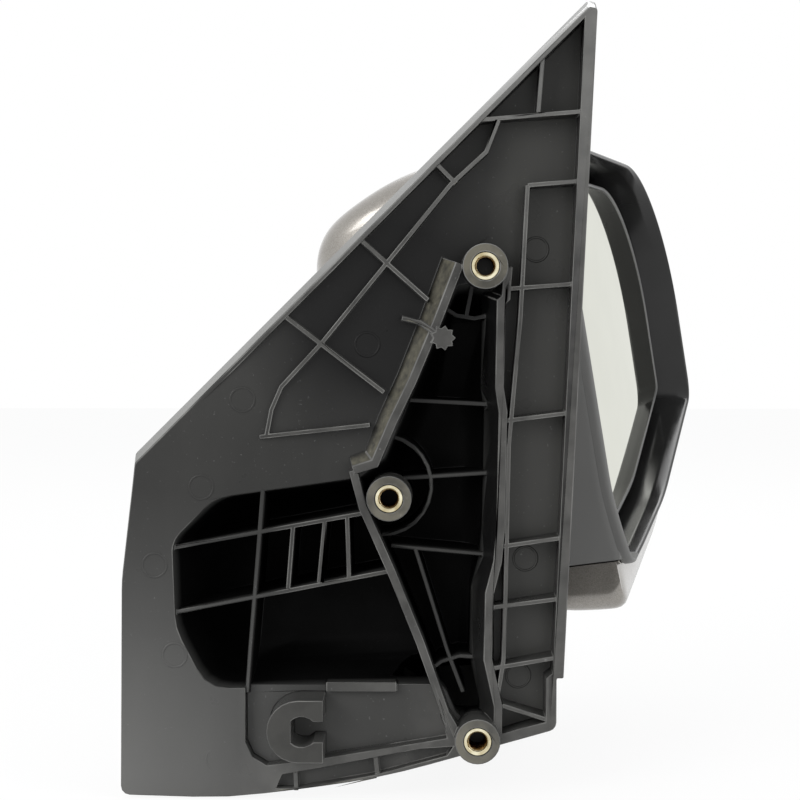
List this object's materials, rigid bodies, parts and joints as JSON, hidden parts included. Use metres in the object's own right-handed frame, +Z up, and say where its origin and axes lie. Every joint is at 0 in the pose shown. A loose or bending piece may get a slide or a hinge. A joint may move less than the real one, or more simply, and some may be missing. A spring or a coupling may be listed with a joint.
{
  "type": "car side mirror",
  "caption": "Car side mirror with a ribbed triangular door base, a hollow arm, a folding head in a rounded cover and a glass set by hand.",
  "frame": {"origin": "on the flat land of the base that is pressed to the door skin, in front of the arm's hollow", "axes": "+X to the rear of the car, +Y away from the door, +Z up"},
  "size_m": [0.22, 0.2445, 0.2646],
  "materials": {
    "black_plastic": "satin moulded",
    "gloss_black": "gloss",
    "cover_paint": "silver grey paint with clear coat",
    "brass": "turned",
    "steel": "zinc plated",
    "nylon": "natural",
    "mirror": "silvered glass",
    "foam": "foam tape"
  },
  "bodies": {
    "base": {"base_bracket": "black_plastic", "brass_insert_top": "brass", "brass_insert_middle": "brass", "brass_insert_bottom": "brass", "pivot_post": "steel", "post_screw_1": "steel", "post_screw_2": "steel", "post_screw_3": "steel", "lower_detent_ring": "steel", "fold_spring": "steel", "spring_cap": "steel", "retaining_clip": "steel"},
    "head": {"head_frame": "black_plastic", "front_cover": "cover_paint", "rear_bezel": "gloss_black", "frame_screw_1": "steel", "frame_screw_2": "steel", "frame_screw_3": "steel", "frame_screw_4": "steel", "upper_detent_ring": "steel", "pivot_bush": "nylon", "spring_seat": "steel", "pivot_shroud": "black_plastic"},
    "glass_swivel": {"swivel_cross": "nylon"},
    "glass": {"mirror_glass": "mirror", "adhesive_pad": "foam", "glass_holder": "black_plastic"}
  },
  "joints": [
    {"name": "fold", "type": "hinge", "parent": "base", "child": "head", "pos_m": [0.11, 0.11, 0], "axis": [0, 0, 1], "range_deg": [-50, 40]},
    {"name": "glass_pan", "type": "hinge", "parent": "head", "child": "glass_swivel", "pos_m": [0.15212, 0.1521, 0.0904], "axis": [-0.1482, 0.0502, 0.9877], "range_deg": [-8, 8]},
    {"name": "glass_tilt", "type": "hinge", "parent": "glass_swivel", "child": "glass", "pos_m": [0.15212, 0.1521, 0.0904], "axis": [0.3206, 0.9472, 0], "range_deg": [-8, 8]}
  ]
}
